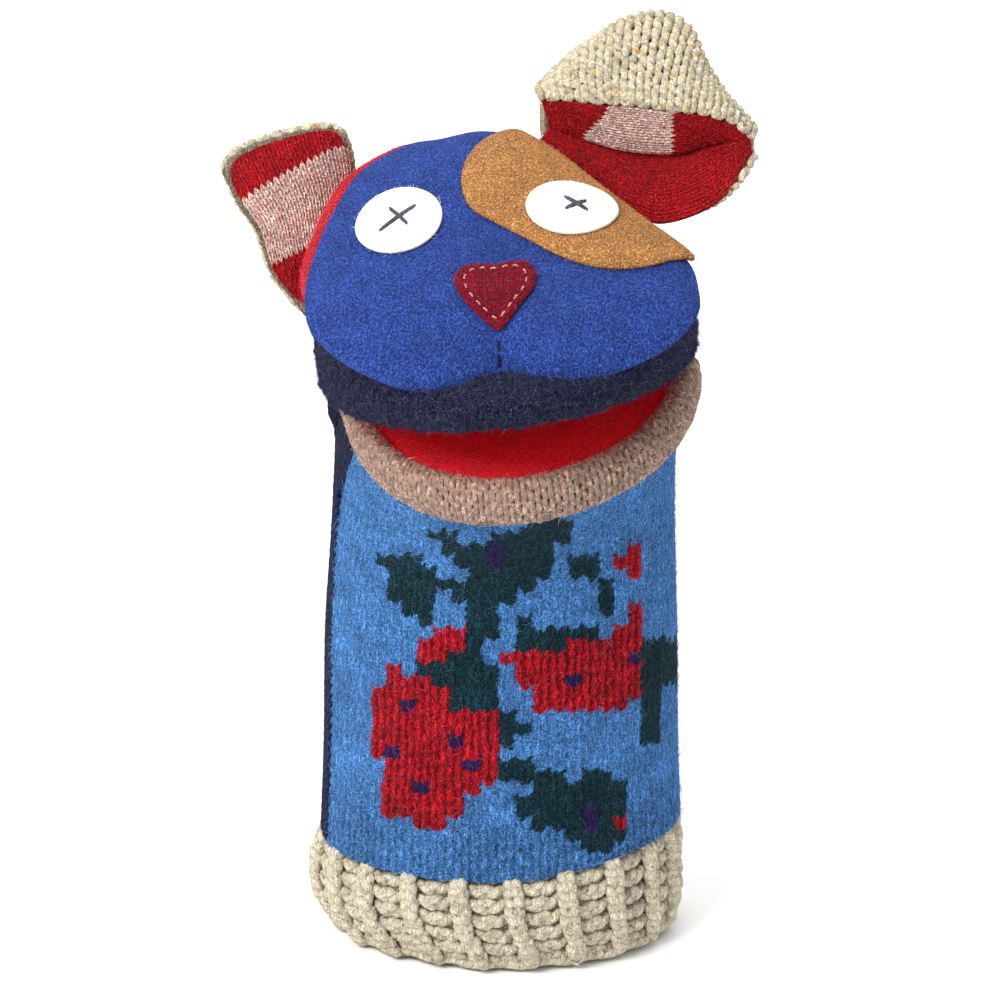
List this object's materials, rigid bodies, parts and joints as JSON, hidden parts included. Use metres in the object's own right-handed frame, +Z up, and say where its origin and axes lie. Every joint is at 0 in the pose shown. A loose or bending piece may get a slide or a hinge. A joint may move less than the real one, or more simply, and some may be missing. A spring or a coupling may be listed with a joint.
{
  "type": "hand puppet",
  "caption": "Knitted dog hand puppet: ribbed cuff and sleeve for the forearm, head and lower jaw that open as a mouth, two floppy ears.",
  "frame": {"origin": "centre of the cuff's open bottom edge, on the surface the puppet stands on", "axes": "+Z up along the sleeve, -Y towards the front of the face, +X to the right as seen from the front"},
  "size_m": [0.1603, 0.1314, 0.2995],
  "materials": {
    "cream_knit": "chunky wool rib knit",
    "seam_yarn": "sewn wool yarn",
    "blue_knit": "felted wool knit with a knitted-in flower pattern",
    "navy_knit": "felted wool knit",
    "tweed_knit": "chunky tweed wool knit",
    "red_knit": "fine wool knit",
    "stiffener": "stiff needled felt board",
    "royal_felt": "felted wool",
    "navy_felt": "fuzzy felted wool",
    "ear_red_knit": "fine wool knit",
    "stuffing": "polyester fibre fill",
    "tan_felt": "felted wool",
    "white_felt": "craft felt",
    "violet_yarn": "embroidery yarn",
    "crimson_felt": "felted wool",
    "pale_thread": "sewing thread",
    "navy_thread": "sewing thread",
    "striped_knit": "fine wool knit in red and pink-beige bands"
  },
  "bodies": {
    "sleeve": {"ribbed_cuff": "cream_knit", "cuff_seam": "seam_yarn", "front_panel": "blue_knit", "back_panel": "navy_knit", "left_side_seam": "seam_yarn", "right_side_seam": "seam_yarn", "throat_gather": "blue_knit", "nape_gather": "navy_knit"},
    "head": {"face_panel": "royal_felt", "lip_band": "navy_felt", "head_back_panel": "ear_red_knit", "upper_mouth_lining": "red_knit", "upper_mouth_board": "stiffener", "forehead_padding": "stuffing", "eye_patch": "tan_felt", "left_eye_disc": "white_felt", "right_eye_disc": "white_felt", "left_eye_stitches": "violet_yarn", "right_eye_stitches": "violet_yarn", "nose": "crimson_felt", "nose_stitching": "pale_thread", "patch_stitching": "pale_thread", "muzzle_stitch": "navy_thread"},
    "lower_jaw": {"chin_band": "tweed_knit", "lower_mouth_lining": "red_knit", "lower_mouth_board": "stiffener"},
    "left_ear": {"left_ear_outer": "tweed_knit", "left_ear_lining": "striped_knit"},
    "right_ear": {"right_ear_outer": "tweed_knit", "right_ear_lining": "striped_knit"}
  },
  "joints": [
    {"name": "head_hinge", "type": "hinge", "parent": "sleeve", "child": "head", "pos_m": [0.003, 0.008, 0.183], "axis": [-0.9945, 0, -0.1045], "range_deg": [-6.5, 25], "deforming": ["nape_gather"]},
    {"name": "lower_jaw_hinge", "type": "hinge", "parent": "sleeve", "child": "lower_jaw", "pos_m": [0.003, 0.008, 0.183], "axis": [0.9945, 0, 0.1045], "range_deg": [-6, 15], "deforming": ["throat_gather"]},
    {"name": "left_ear_hinge", "type": "hinge", "parent": "head", "child": "left_ear", "pos_m": [-0.052, 0.0155, 0.225], "axis": [0.2425, 0, 0.9701], "range_deg": [-25, 25]},
    {"name": "right_ear_hinge", "type": "hinge", "parent": "head", "child": "right_ear", "pos_m": [0.032, 0.01, 0.248], "axis": [0.8486, 0, -0.5291], "range_deg": [-20, 5]}
  ]
}
